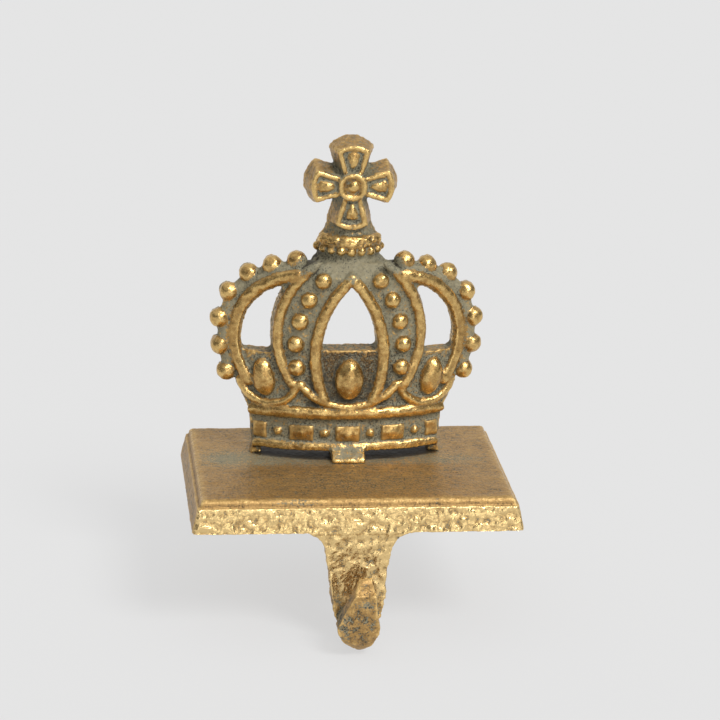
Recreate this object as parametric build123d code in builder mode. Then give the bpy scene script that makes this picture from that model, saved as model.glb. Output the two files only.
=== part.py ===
# Mantel stocking holder: a cast plate with a hook, and a cast crown screwed on top.
# Millimetres. The origin is the middle of the plate's underside, +Z is up and the hook faces -Y.
import os
from math import acos, asin, cos, degrees, pi, radians, sin, sqrt

from build123d import *

# Plate that stands on the mantel
plate_width = 130.0
plate_depth = 92.0
bevel_height = 9.6
bevel_inset = 1.9
step_width = 1.2
slab_height = 3.1
plate_corner_radius = 1.6
slab_edge_radius = 2.4

# Hook below the plate's front edge
hook_drop = 45.4
hook_thickness = 7.0
hook_throat = 12.0
stem_top_width = 26.0
stem_bottom_width = 17.4
stem_flare = 8.2
tip_height = 31.8
tip_slope = 5.4
tip_lean = 1.4
tip_end_width = 5.0
nose_clip = 0.6
nose_swell = 0.62
flare_rise = 0.15

# Bowed wall of the crown, heights measured from the top of the plate
crown_front = 4.0
crown_back = 22.0
bow_radius = 90.0
wall_thickness = 9.5
scoop_radius = 113.0
foot_gap = 3.1
arch_rim = 4.0
flank_drop = 3.2

# Lines of the crown's right half in the front view, arcs about these centres
arch_centre_x = 18.4
arch_centre_height = 49.0
arch_radius = 27.3
arch_start = -38.0
arch_end = 80.0
strap_centre_x = -8.2
strap_centre_height = 51.3
strap_radius = 36.8
strap_start = -33.0
strap_end = 47.0
ogive_centre_x = -30.5
ogive_centre_height = 43.3
ogive_radius = 44.2
ogive_start = -24.0
ogive_overrun = 8.0
swag_peak_x = 20.3
swag_peak_height = 32.0
centre_swag_height = 21.7
side_swag_x = 31.6
side_swag_height = 33.2
side_swag_start = 186.0
side_swag_end = 352.0

# Ribs raised along those lines
arch_rib_width = 5.2
strap_rib_width = 4.2
ogive_rib_width = 4.2
swag_rib_width = 3.8
rib_relief = 2.0
rib_root = 2.0
rib_bevel = 1.5

# Windows of the crown
window_margin = 0.3
side_sill_height = 43.0
centre_sill_height = 45.4
window_corner_radius = 1.6

# Beads and gems
bead_sides = 8
small_bead_sides = 6
bead_relief = 0.94
bead_bevel = 0.33
sink = 0.3
outer_bead_radius = 3.6
outer_bead_root = 3.0
outer_bead_setback = 4.0
outer_bead_x = (48.5, 51.3, 51.6, 48.1, 40.1, 31.1, 21.5)
outer_bead_height = (33.1, 44.1, 55.6, 66.4, 74.2, 78.7, 81.2)
strap_bead_radius = 3.4
strap_bead_centre_x = -25.0
strap_bead_centre_height = 45.3
strap_bead_path_radius = 46.5
strap_bead_count = 5
strap_bead_start = -9.3
strap_bead_pitch = 12.0
centre_gem_length = 17.4
centre_gem_width = 11.4
centre_gem_height = 32.8
side_gem_length = 15.8
side_gem_width = 9.6
side_gem_height = 32.2
side_gem_x = 33.6
side_gem_tilt = 10.0
gem_belly = 0.45
gem_relief = 0.4
gem_bevel = 0.15
gem_sides = 12

# Banded foot of the crown
band_bottom_half_width = 37.4
band_top_half_width = 39.2
rim_height = 2.2
rim_relief = 1.8
roll_height = 18.7
roll_radius = 2.2
roll_relief = 0.4
tablet_width = 9.6
tablet_length = 6.0
tablet_height = 10.6
tablet_pitch = 18.4
tablet_relief = 1.5
dot_radius = 1.7

# Neck, collar and skirt under the cross
shoulder_roll = 5.0
neck_sink = 5.0
neck_bottom_radius = 17.5
neck_radius = 12.6
neck_height = 7.6
collar_radius = 12.9
collar_height = 6.0
skirt_bottom_radius = 11.7
skirt_waist_radius = 9.6
skirt_top_radius = 8.6
skirt_height = 7.2
collar_bead_radius = 1.8
collar_bead_pitch = 18.4
collar_bead_count = 9
collar_bead_rise = 2.1

# Cross
cross_front = 11.4
cross_sink = 2.7
arm_length = 16.6
lower_arm_length = 17.8
arm_end_bow = 2.2
arm_end_steps = (1.0, 0.7, 0.25, -0.25, -0.7, -1.0)
arm_tip_half_width = 6.7
arm_root_half_width = 2.4
cross_draft = 2.6
border_width = 2.0
border_relief = 1.1
hub_radius = 5.8
hub_ring_width = 1.7
hub_sides = 14
hub_relief = 2.4
boss_radius = 2.6
petal_distance = 10.2
petal_half_width = 2.7
petal_half_length = 3.4
petal_relief = 1.2
petal_bevel = 0.6

# Lug and end feet of the crown, and the screw
lug_width = 13.4
lug_projection = 7.0
lug_toe = 1.4
end_foot_x = 35.6
end_foot_width = 3.2
end_foot_flare = 1.6
end_foot_depth = 6.0
screw_diameter = 5.0
screw_length = 16.0
screw_head_diameter = 9.5
screw_head_height = 3.7
slot_width = 1.2
slot_depth = 1.6
head_clearance = 0.8
head_recess = 0.9
shank_clearance = 0.25
thread_clearance = 0.05
hole_spare_depth = 1.4

# Places that follow from the sizes above
seat = bevel_height + slab_height
slab_inset = bevel_inset + step_width
reach = 2 * plate_width
bow_axis_y = crown_front + bow_radius
bow_axis = Axis((0, bow_axis_y, 0), (0, 0, 1))
scoop_axis_y = crown_front + wall_thickness + scoop_radius
arch_centre = (arch_centre_x, seat + arch_centre_height)
strap_centre = (strap_centre_x, seat + strap_centre_height)
ogive_centre = (ogive_centre_x, seat + ogive_centre_height)
side_swag_centre = (side_swag_x, seat + side_swag_height)
arch_edge = arch_radius + arch_rim
crown_body_top = arch_centre[1] + arch_edge
band_bottom = seat + foot_gap
neck_bottom = crown_body_top - neck_sink
neck_top = neck_bottom + neck_height
collar_bead_z = neck_top + collar_bead_rise
skirt_bottom = neck_top + collar_height
skirt_top = skirt_bottom + skirt_height
cross_centre_z = skirt_top - cross_sink + lower_arm_length
cross_thickness = crown_back - cross_front
lug_front = crown_front - lug_projection
lug_back = crown_front + wall_thickness
lug_height = foot_gap + rim_height
screw_y = crown_front + wall_thickness / 2
screw_seat = screw_head_height + head_recess
screw_tip = screw_seat + screw_length
arms = [(0, arm_length), (90, arm_length), (180, lower_arm_length), (270, arm_length)]


def on_bow(x):
    """Depth of the crown's bowed front at x."""
    return bow_axis_y - sqrt(bow_radius**2 - x**2)


def bow_location(x, z):
    """Place just under the bowed front at x, facing out along the bow's radius."""
    return Pos(0, bow_axis_y, z) * Rot(0, 0, degrees(asin(x / bow_radius))) * Pos(0, sink - bow_radius, 0)


def bow_section(angle, z):
    """Plane through the axis of the bow at an angle left of the middle, with its x axis pointing out."""
    outward = Vector(0, -1, 0).rotate(Axis.Z, -angle)
    return Plane((0, bow_axis_y, z), x_dir=outward, z_dir=outward.cross(Vector(0, 0, 1)))


def shell_over_bow():
    """Plan of a thin shell that follows the bowed front, as deep as a rib."""
    with BuildSketch() as plan:
        with Locations((0, bow_axis_y)):
            Circle(bow_radius + rib_relief)
            Circle(bow_radius - rib_root, mode=Mode.SUBTRACT)
        with Locations((0, crown_back)):
            Rectangle(reach, reach, align=(Align.CENTER, Align.MAX), mode=Mode.INTERSECT)
    return plan.sketch


def rib(centre, radius, start, end, width):
    """Raised rib with bevelled shoulders along an arc of the front view, laid round the bow."""
    with BuildPart() as strip:
        with BuildSketch(Plane.XZ):
            with BuildLine():
                outer = CenterArc(centre, radius + width / 2, start, end - start)
                inner = CenterArc(centre, radius - width / 2, start, end - start)
                Line(outer @ 0, inner @ 0)
                Line(outer @ 1, inner @ 1)
            make_face()
        extrude(amount=reach, both=True)
        extrude(shell_over_bow(), amount=reach, both=True, mode=Mode.INTERSECT)
        rounds = strip.faces().filter_by(GeomType.CYLINDER)
        crest = rounds.filter_by(lambda face: abs(face.radius - bow_radius - rib_relief) < 1e-3)
        long_edges = crest[0].edges().sort_by(SortBy.LENGTH)[-2:]
        chamfer(long_edges, rib_bevel, rib_relief + sink, reference=crest[0])
    return strip.part


def bead(radius, root, sides):
    """Round bead cut with two rows of facets, facing the front, with a straight root behind them."""
    relief = bead_relief * radius
    with BuildPart() as solid:
        with BuildSketch(Plane.XZ.offset(-root)):
            RegularPolygon(radius, sides)
        extrude(amount=root + relief)
        front = solid.faces().sort_by(Axis.Y)[0]
        chamfer(front.edges(), bead_bevel * radius, relief, reference=front)
        chamfer(solid.faces().sort_by(Axis.Y)[0].edges(), bead_bevel * radius)
    return solid.part


def gem(width, length):
    """Egg-shaped gem, widest a little below its middle, cut with two rows of facets and facing the front."""
    relief = gem_relief * width
    outline = []
    for step in range(gem_sides):
        angle = 2 * pi * step / gem_sides
        half_length = length * (1 - gem_belly if angle < pi else gem_belly)
        outline.append((width / 2 * cos(angle), half_length * sin(angle)))
    with BuildPart() as solid:
        with BuildSketch(Plane.XZ.offset(-rib_root)):
            with BuildLine():
                Polyline(*outline, close=True)
            make_face()
        extrude(amount=rib_root + relief)
        front = solid.faces().sort_by(Axis.Y)[0]
        chamfer(front.edges(), gem_bevel * width, relief, reference=front)
        chamfer(solid.faces().sort_by(Axis.Y)[0].edges(), gem_bevel * width)
    return solid.part


def arm_outline(length, grow=0.0):
    """One arm of the cross, pointing up from the centre, with a bowed end in short flats."""
    tip = arm_tip_half_width + grow
    root = arm_root_half_width + grow
    bow = arm_end_bow + grow
    end = [(tip * step, length + grow - bow * step**2) for step in arm_end_steps]
    with BuildSketch() as arm:
        with BuildLine():
            Polyline(*end, (-root, 0), (root, 0), close=True)
        make_face()
    return arm.sketch


def drafted_arm(length):
    """Solid arm of the cross that grows from its front to its back."""
    with BuildPart() as arm:
        with BuildSketch(Plane.XZ.offset(-crown_back)):
            add(arm_outline(length, cross_draft))
        with BuildSketch(Plane.XZ.offset(-cross_front)):
            add(arm_outline(length))
        loft(ruled=True)
    return arm.part


with BuildPart() as base_and_hook:
    # Side view of the hook: a strap that goes down, turns forward and comes up again
    stem_front = -plate_depth / 2
    stem_back = stem_front + hook_thickness
    bend_inner = hook_throat / 2
    bend_outer = bend_inner + hook_thickness
    bend_y = stem_front - bend_inner
    bend_z = bend_outer - hook_drop
    tip_top = tip_height - hook_drop
    inside_plate = bevel_height / 4
    with BuildSketch(Plane.YZ):
        with BuildLine():
            Polyline(
                (stem_front, bend_z),
                (stem_front, 0),
                (stem_front + bevel_inset, inside_plate),
                (stem_back, inside_plate),
                (stem_back, bend_z),
            )
            ThreePointArc((stem_back, bend_z), (bend_y, -hook_drop), (bend_y - bend_outer, bend_z))
            Polyline(
                (bend_y - bend_outer, bend_z),
                (bend_y - bend_outer, tip_top - tip_slope),
                (bend_y - bend_inner, tip_top),
                (bend_y - bend_inner, bend_z),
            )
            ThreePointArc((bend_y - bend_inner, bend_z), (bend_y, bend_z - bend_inner), (stem_front, bend_z))
        make_face()
    extrude(amount=stem_top_width, both=True)

    # Front view of the hook: flared at the plate, tapered, with a round nose
    half_top = stem_top_width / 2
    half_bottom = stem_bottom_width / 2
    flare_x = half_top + stem_flare
    nose_depth = bend_outer + nose_clip
    with BuildSketch(Plane.XZ):
        with BuildLine():
            flank = Line((half_bottom, bend_z), (half_top, -stem_flare))
            flare = TangentArc(flank @ 1, (flare_x, flare_rise), tangent=flank % 1)
            Polyline(flare @ 1, (flare_x, inside_plate), (0, inside_plate), (0, bend_z - nose_depth))
            nose_middle = (nose_swell * half_bottom, bend_z - nose_swell * nose_depth)
            ThreePointArc((0, bend_z - nose_depth), nose_middle, (half_bottom, bend_z))
        make_face()
        mirror(about=Plane.YZ)
    extrude(amount=reach, both=True, mode=Mode.INTERSECT)

    # Flanks taken off the upturned tip, which narrows to its end and leans to the right
    with BuildSketch(Plane.XZ.offset(-bend_y)):
        for side in (-1, 1):
            tip_x = tip_lean + side * tip_end_width / 2
            with BuildLine():
                Polyline(
                    (side * half_bottom, bend_z),
                    (tip_x, tip_top),
                    (tip_x, 0),
                    (side * stem_top_width, 0),
                    (side * stem_top_width, bend_z),
                    close=True,
                )
            make_face()
    extrude(amount=reach, mode=Mode.SUBTRACT)

    # Bevelled plate with a rounded slab stepped back on top of it
    bevel_top = (plate_width - 2 * bevel_inset, plate_depth - 2 * bevel_inset)
    with BuildSketch(Plane.XY):
        RectangleRounded(plate_width, plate_depth, plate_corner_radius)
    with BuildSketch(Plane.XY.offset(bevel_height)):
        RectangleRounded(*bevel_top, plate_corner_radius)
    loft(ruled=True)
    with BuildSketch(Plane.XY.offset(bevel_height)):
        Rectangle(plate_width - 2 * slab_inset, plate_depth - 2 * slab_inset)
    extrude(amount=slab_height)
    fillet(base_and_hook.faces().sort_by(Axis.Z)[-1].edges(), slab_edge_radius)

    # Bore for the screw, with a recess for its head in the underside
    with Locations(Location((0, screw_y, 0), (180, 0, 0))):
        CounterBoreHole(
            radius=screw_diameter / 2 + shank_clearance,
            counter_bore_radius=screw_head_diameter / 2 + head_clearance,
            counter_bore_depth=screw_seat,
            depth=seat,
        )
base_and_hook.part.label = "base_and_hook"

# Ribs of the crown's right half, and the swag across its middle
swag_sag = swag_peak_height - centre_swag_height
swag_radius = (swag_peak_x**2 + swag_sag**2) / (2 * swag_sag)
swag_half_angle = degrees(asin(swag_peak_x / swag_radius))
swag_centre = (0, seat + centre_swag_height + swag_radius)
side_swag_radius = side_swag_x - swag_peak_x
ogive_peak = degrees(acos(-ogive_centre_x / ogive_radius))
ogive_end = ogive_peak + ogive_overrun
arch_rib = rib(arch_centre, arch_radius, arch_start, arch_end, arch_rib_width)
strap_rib = rib(strap_centre, strap_radius, strap_start, strap_end, strap_rib_width)
whole_ogive_rib = rib(ogive_centre, ogive_radius, ogive_start, ogive_end, ogive_rib_width)
ogive_rib = split(whole_ogive_rib, bisect_by=Plane.YZ)
side_swag_rib = rib(side_swag_centre, side_swag_radius, side_swag_start, side_swag_end, swag_rib_width)
centre_swag_rib = rib(swag_centre, swag_radius, 270 - swag_half_angle, 270 + swag_half_angle, swag_rib_width)
half_ribs = [arch_rib, strap_rib, ogive_rib, side_swag_rib]

# Beads and where they sit
outer_bead = bead(outer_bead_radius, outer_bead_root, bead_sides)
strap_bead = bead(strap_bead_radius, rib_root, bead_sides)
collar_bead = bead(collar_bead_radius, rib_root, small_bead_sides)
dot = bead(dot_radius, rib_root, small_bead_sides)
boss = bead(boss_radius, rib_root, bead_sides)
centre_gem = gem(centre_gem_width, centre_gem_length)
side_gem = gem(side_gem_width, side_gem_length)
outer_spots = []
for x, height in zip(outer_bead_x, outer_bead_height):
    y = min(on_bow(x) + outer_bead_setback, crown_back - outer_bead_radius)
    outer_spots += [(x, y, seat + height), (-x, y, seat + height)]
strap_spots = []
for count in range(strap_bead_count):
    angle = radians(strap_bead_start + count * strap_bead_pitch)
    x = strap_bead_centre_x + strap_bead_path_radius * cos(angle)
    z = seat + strap_bead_centre_height + strap_bead_path_radius * sin(angle)
    strap_spots += [bow_location(x, z), bow_location(-x, z)]
collar_spots = []
for count in range(collar_bead_count):
    turn = (count - (collar_bead_count - 1) / 2) * collar_bead_pitch
    ring = Pos(0, crown_back, collar_bead_z) * Rot(0, 0, turn)
    collar_spots.append(ring * Pos(0, -sink - collar_radius, 0))

# Front of the cross, about its own centre
with BuildSketch() as borders:
    for turn, length in arms:
        with Locations(Rot(0, 0, turn)):
            add(arm_outline(length))
            add(offset(arm_outline(length), -border_width, mode=Mode.PRIVATE), mode=Mode.SUBTRACT)
    Circle(hub_radius - hub_ring_width / 2, mode=Mode.SUBTRACT)
solid_arms = [(turn, drafted_arm(length)) for turn, length in arms]
with BuildPart() as petal:
    with BuildSketch(Plane.XZ.offset(-cross_front)):
        with BuildLine():
            Polyline(
                (0, petal_distance - petal_half_length),
                (petal_half_width, petal_distance + petal_half_width),
                (petal_half_width / 2, petal_distance + petal_half_length),
                (-petal_half_width / 2, petal_distance + petal_half_length),
                (-petal_half_width, petal_distance + petal_half_width),
                close=True,
            )
        make_face()
    extrude(amount=petal_relief)
    chamfer(petal.faces().sort_by(Axis.Y)[0].edges(), petal_bevel)

with BuildPart() as crown:
    # Outline of the openwork, seen from the front
    flank_angle = asin((arch_centre_height - swag_peak_height) / arch_edge)
    flank_x = arch_centre[0] + arch_edge * cos(flank_angle)
    flank_z = arch_centre[1] - arch_edge * sin(flank_angle)
    with BuildSketch(Plane.XZ):
        with BuildLine():
            Polyline(
                (0, band_bottom),
                (band_bottom_half_width, band_bottom),
                (band_top_half_width, seat + roll_height),
                (flank_x, flank_z - flank_drop),
                (flank_x, flank_z),
            )
            CenterArc(arch_centre, arch_edge, -degrees(flank_angle), 90 + degrees(flank_angle))
            Polyline((arch_centre[0], crown_body_top), (0, crown_body_top), (0, band_bottom))
        make_face()
        mirror(about=Plane.YZ)
    extrude(amount=reach, both=True)

    # Window in each side arch
    with BuildSketch(Plane.XZ) as side_window:
        with Locations(arch_centre):
            Circle(arch_radius - arch_rib_width / 2 - window_margin)
        with Locations(strap_centre):
            Circle(strap_radius + strap_rib_width / 2 + window_margin, mode=Mode.SUBTRACT)
        with Locations((0, seat + side_sill_height)):
            Rectangle(reach, reach, align=(Align.CENTER, Align.MAX), mode=Mode.SUBTRACT)
        fillet(side_window.vertices(), window_corner_radius)
        mirror(about=Plane.YZ)
    extrude(amount=reach, both=True, mode=Mode.SUBTRACT)

    # Pointed window in the middle
    ogive_window_radius = ogive_radius - ogive_rib_width / 2 - window_margin
    with BuildSketch(Plane.XZ) as centre_window:
        with Locations(ogive_centre):
            Circle(ogive_window_radius)
        with Locations((-ogive_centre[0], ogive_centre[1])):
            Circle(ogive_window_radius, mode=Mode.INTERSECT)
        with Locations((0, seat + centre_sill_height)):
            Rectangle(reach, reach, align=(Align.CENTER, Align.MAX), mode=Mode.SUBTRACT)
        fillet(centre_window.vertices().group_by(Axis.Y)[0], window_corner_radius)
    extrude(amount=reach, both=True, mode=Mode.SUBTRACT)

    # Bowed wall, scooped out behind
    with BuildSketch():
        with Locations((0, bow_axis_y)):
            Circle(bow_radius)
        with Locations((0, crown_back)):
            Rectangle(reach, reach, align=(Align.CENTER, Align.MAX), mode=Mode.INTERSECT)
        with Locations((0, scoop_axis_y)):
            Circle(scoop_radius, mode=Mode.SUBTRACT)
    extrude(amount=reach, mode=Mode.INTERSECT)

    # Top edge sloped back towards the neck
    shoulder_bottom = crown_body_top - shoulder_roll
    with BuildSketch(Plane.YZ):
        with BuildLine():
            Polyline(
                (crown_front - shoulder_roll, shoulder_bottom - shoulder_roll),
                (crown_front + 2 * shoulder_roll, crown_body_top + shoulder_roll),
                (crown_front - shoulder_roll, crown_body_top + shoulder_roll),
                close=True,
            )
        make_face()
    extrude(amount=reach, both=True, mode=Mode.SUBTRACT)

    # Ribs along the arches, straps and swags
    mirrored_ribs = [mirror(half, about=Plane.YZ, mode=Mode.PRIVATE) for half in half_ribs]
    add(half_ribs + mirrored_ribs + [centre_swag_rib])

    # Roll moulding and foot rim, turned about the axis of the bow
    roll_angle = degrees(asin(band_top_half_width / bow_radius))
    rim_angle = degrees(asin(band_bottom_half_width / bow_radius))
    with BuildSketch(bow_section(roll_angle, seat + roll_height)):
        with Locations((bow_radius + roll_relief, 0)):
            RegularPolygon(roll_radius, small_bead_sides)
    revolve(axis=bow_axis, revolution_arc=2 * roll_angle)
    with BuildSketch(bow_section(rim_angle, band_bottom)):
        with Locations((bow_radius - rib_root, 0)):
            Rectangle(rib_root + rim_relief, rim_height, align=(Align.MIN, Align.MIN))
    revolve(axis=bow_axis, revolution_arc=2 * rim_angle)

    # Tablets and dots in turn round the band, with short tablets at its ends
    tablet_z = seat + tablet_height
    end_tablet_start = 2 * tablet_pitch - tablet_width / 2
    end_tablet_width = band_bottom_half_width - end_tablet_start
    end_tablet_x = band_bottom_half_width - end_tablet_width / 2
    with Locations([bow_location(step * tablet_pitch, tablet_z) for step in (-1, 0, 1)]):
        Box(tablet_width, 2 * tablet_relief, tablet_length)
    with Locations([bow_location(side * end_tablet_x, tablet_z) for side in (-1, 1)]):
        Box(end_tablet_width, 2 * tablet_relief, tablet_length)
    with Locations([bow_location(step * tablet_pitch, tablet_z) for step in (-1.5, -0.5, 0.5, 1.5)]):
        add(dot)

    # Rows of beads up the straps and round the arches
    with Locations(strap_spots):
        add(strap_bead)
    with Locations(outer_spots):
        add(outer_bead)

    # Gems, one in the middle and one in each side arch
    with Locations(bow_location(0, seat + centre_gem_height)):
        add(centre_gem)
    for side in (-1, 1):
        gem_place = bow_location(side * side_gem_x, seat + side_gem_height)
        with Locations(gem_place * Rot(0, side * side_gem_tilt, 0)):
            add(side_gem)

    # Neck, collar and skirt, half round about an axis in the plane of the back
    with BuildSketch(Plane.YZ):
        with BuildLine():
            Polyline(
                (crown_back, neck_bottom),
                (crown_back - neck_bottom_radius, neck_bottom),
                (crown_back - neck_radius, neck_top - collar_height / 4),
                (crown_back - neck_radius, neck_top),
                (crown_back - collar_radius, collar_bead_z - collar_bead_radius),
                (crown_back - collar_radius, collar_bead_z + collar_bead_radius),
                (crown_back - skirt_bottom_radius, skirt_bottom),
                (crown_back - skirt_waist_radius, skirt_bottom + skirt_height / 2),
                (crown_back - skirt_top_radius, skirt_top),
                (crown_back, skirt_top),
                close=True,
            )
        make_face()
    revolve(axis=Axis((0, crown_back, 0), (0, 0, 1)))
    with Locations(collar_spots):
        add(collar_bead)

    # Cross with drafted sides, a raised border round each arm and a ring in the middle
    for turn, solid_arm in solid_arms:
        with Locations(Pos(0, 0, cross_centre_z) * Rot(0, turn, 0)):
            add(solid_arm)
    with Locations(Location((0, crown_back, cross_centre_z), (90, 0, 0))):
        Cone(
            hub_radius + cross_draft,
            hub_radius,
            cross_thickness,
            align=(Align.CENTER, Align.CENTER, Align.MIN),
        )
    with BuildSketch(Plane.XZ.offset(-cross_front)):
        with Locations((0, cross_centre_z)):
            add(borders.sketch)
    extrude(amount=border_relief)
    with BuildSketch(Plane.XZ.offset(-cross_front)):
        with Locations((0, cross_centre_z)):
            RegularPolygon(hub_radius, hub_sides)
            RegularPolygon(hub_radius - hub_ring_width, hub_sides, mode=Mode.SUBTRACT)
    extrude(amount=hub_relief)
    with Locations((0, cross_front, cross_centre_z)):
        add(boss)
    with Locations([Pos(0, 0, cross_centre_z) * Rot(0, turn, 0) for turn in range(0, 360, 90)]):
        add(petal.part)

    # Lug and end feet that stand on the plate
    with BuildSketch(Plane.YZ):
        with BuildLine():
            Polyline(
                (lug_back, seat),
                (lug_front, seat),
                (lug_front, seat + lug_toe),
                (crown_front - rim_relief, seat + lug_height),
                (lug_back, seat + lug_height),
                close=True,
            )
        make_face()
    extrude(amount=lug_width / 2, both=True)
    end_foot_front = on_bow(end_foot_x)
    with BuildSketch(Plane.XZ.offset(-end_foot_front)):
        with BuildLine():
            Polyline(
                (end_foot_x - end_foot_width / 2, seat),
                (end_foot_x + end_foot_width / 2 + end_foot_flare, seat),
                (end_foot_x + end_foot_width / 2, band_bottom + rim_height / 2),
                (end_foot_x - end_foot_width / 2, band_bottom + rim_height / 2),
                close=True,
            )
        make_face()
        mirror(about=Plane.YZ)
    extrude(amount=-end_foot_depth)

    # Flat back and tapped hole
    split(bisect_by=Plane.XZ.offset(-crown_back))
    with Locations(Location((0, screw_y, seat), (180, 0, 0))):
        Hole(screw_diameter / 2 + thread_clearance, depth=screw_tip + hole_spare_depth - seat)
crown.part.label = "crown"

with BuildPart() as fixing_screw:
    with BuildSketch(Plane.XY.offset(head_recess)):
        with Locations((0, screw_y)):
            Circle(screw_head_diameter / 2)
    extrude(amount=screw_head_height)
    with BuildSketch(Plane.XY.offset(screw_seat)):
        with Locations((0, screw_y)):
            Circle(screw_diameter / 2)
    extrude(amount=screw_length)
    with Locations((0, screw_y, head_recess + slot_depth / 2)):
        Box(screw_head_diameter, slot_width, slot_depth, mode=Mode.SUBTRACT)
fixing_screw.part.label = "fixing_screw"

os.makedirs("parts", exist_ok=True)
for piece in (base_and_hook.part, crown.part, fixing_screw.part):
    export_step(piece, f"parts/{piece.label}.step")
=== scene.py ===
import math

import bmesh
import bpy
import numpy as np
from bpy.props import FloatProperty, FloatVectorProperty, IntProperty, PointerProperty
from mathutils import Matrix, Vector


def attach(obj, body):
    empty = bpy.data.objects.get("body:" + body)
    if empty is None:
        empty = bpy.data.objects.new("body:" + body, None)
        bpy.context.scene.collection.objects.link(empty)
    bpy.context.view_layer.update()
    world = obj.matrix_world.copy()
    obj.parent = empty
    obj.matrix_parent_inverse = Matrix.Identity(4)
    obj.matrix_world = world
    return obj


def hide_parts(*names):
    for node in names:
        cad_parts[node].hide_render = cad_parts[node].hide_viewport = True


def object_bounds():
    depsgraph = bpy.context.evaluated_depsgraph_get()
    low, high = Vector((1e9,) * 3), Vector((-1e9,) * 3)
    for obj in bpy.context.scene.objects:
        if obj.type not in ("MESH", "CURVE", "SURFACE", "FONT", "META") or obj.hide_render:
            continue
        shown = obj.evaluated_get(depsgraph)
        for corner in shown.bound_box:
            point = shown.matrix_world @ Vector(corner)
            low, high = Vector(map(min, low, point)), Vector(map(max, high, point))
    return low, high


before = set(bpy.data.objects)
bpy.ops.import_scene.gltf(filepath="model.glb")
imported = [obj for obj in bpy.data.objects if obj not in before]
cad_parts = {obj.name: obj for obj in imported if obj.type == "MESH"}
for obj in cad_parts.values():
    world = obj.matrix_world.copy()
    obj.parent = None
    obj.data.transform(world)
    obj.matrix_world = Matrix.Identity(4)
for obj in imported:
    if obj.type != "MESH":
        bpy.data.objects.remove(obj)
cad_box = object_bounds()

bl_info = {
    "name": "Mantel Stocking Holder",
    "version": (1, 0, 0),
    "blender": (4, 5, 0),
    "location": "View3D > Sidebar > Stocking Holder",
    "description": "Dresses the cast plate, hook and crown in worn antique gold and sets them on a pale stage",
    "category": "Object",
}

MM = 0.001

# Steps along a rope, the collar's roll and the web from bead to bead, and steps of a vertex weight
ROPE_STEPS = 60
COLLAR_STEPS = 40
WEB_STEPS = 4
WEIGHT_STEPS = 20

# How far beads differ in size, and other measures of the round forms
OUTER_SPREAD = 0.03
STRAP_SPREAD = 0.05
COLLAR_SPREAD = 0.08
HUB_STEP = 1.3
PETAL_TAPER = 0.45
STRAP_FADE = 4.0
COLLAR_TURN = 76

# Size and height of roughness, as shares of the lumps, the sand or the foil
CROWN_DENTS = (0.45, 0.6)
COLLAR_CRUST = (1.9, 1)
BASE_LUMPS = (1, 0.5)
PLATE_DUST = (0.7, 0.4)
STEM_CREASES = (2, 0.7)
FOIL_WAVES = (2.4, 1.5)
FOIL_CREASES = (1.3, 0.8)
LEAST_SAND = 0.3
GEM_SMOOTHNESS = 0.8

# Shares that the gilding reads at each point, and the colours it mixes
GILDING_MASKS = ("Relief", "Film", "Rub", "Wash")
GILDING_COLOURS = ("Foil", "Bright Gold", "Deep Gold", "Umber", "Verdigris", "Soot")

# Scales of the gilding's noises, and how much its layers cover
CLOUD_SCALE = 130.0
MOTTLE_SCALE = 560.0
STREAK_SCALE = 900.0
FLECK_SCALE = 1350.0
SPECK_SCALE = 1900.0
UMBER_COVER = 0.85
FILM_COVER = 0.9
SOOT_COVER = 0.85

# Roughness of gold and foil, of zinc and of dull places, and the metal share of bright and dull
GOLD_ROUGHNESS = (0.25, 0.16)
ZINC_ROUGHNESS = (0.25, 0.5)
DULL_ROUGHNESS = 0.68
METAL = (0.95, 0.15)
BUMP_DISTANCE = 0.4 * MM
PIT_BRIGHTNESS = 0.55

# Height of a full ridge, and how far the painted shade in the slots under the crown and the soot lower the relief and
# thin the film
RELIEF_REACH = 0.55 * MM
SLOT_SINK = 1.5
SOOT_SINK = 0.6
SOOT_THINNING = 0.65

# Turn of a normal between a side and a face
FACE_TURN = (0.5, 0.9)

# Moves in the hook's bend: widening right and left, drawing in below, shift and slimming of the nose
BEND_WIDENING = (0.17, 0.05)
UNDER_MOVE = 3.0
NOSE_MOVE = 0.9
NOSE_SLIMMING = 0.07

SENSOR_WIDTH = 36.0


def length(name, about, size):
    """Property for a length in millimetres."""
    return FloatProperty(name=name, description=about, default=size * MM, unit="LENGTH")


def lengths(name, about, *sizes):
    """Property for several lengths in millimetres."""
    return FloatVectorProperty(
        name=name, description=about, size=len(sizes), default=[size * MM for size in sizes], unit="LENGTH")


def angle(name, about, degrees):
    return FloatProperty(name=name, description=about, default=math.radians(degrees), subtype="ANGLE")


def sweep(name, start, end):
    """Property for the angles at which a rope starts and ends."""
    turns = (math.radians(start), math.radians(end))
    return FloatVectorProperty(name=name, description="Start and end angle", size=2, default=turns, unit="ROTATION")


def colour(name, about, *parts):
    return FloatVectorProperty(
        name=name, description=about, size=3, default=parts, subtype="COLOR", min=0, max=1)


def amount(name, about, value):
    return FloatProperty(name=name, description=about, default=value)


def whole(name, about, value):
    return IntProperty(name=name, description=about, default=value, min=1)


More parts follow.
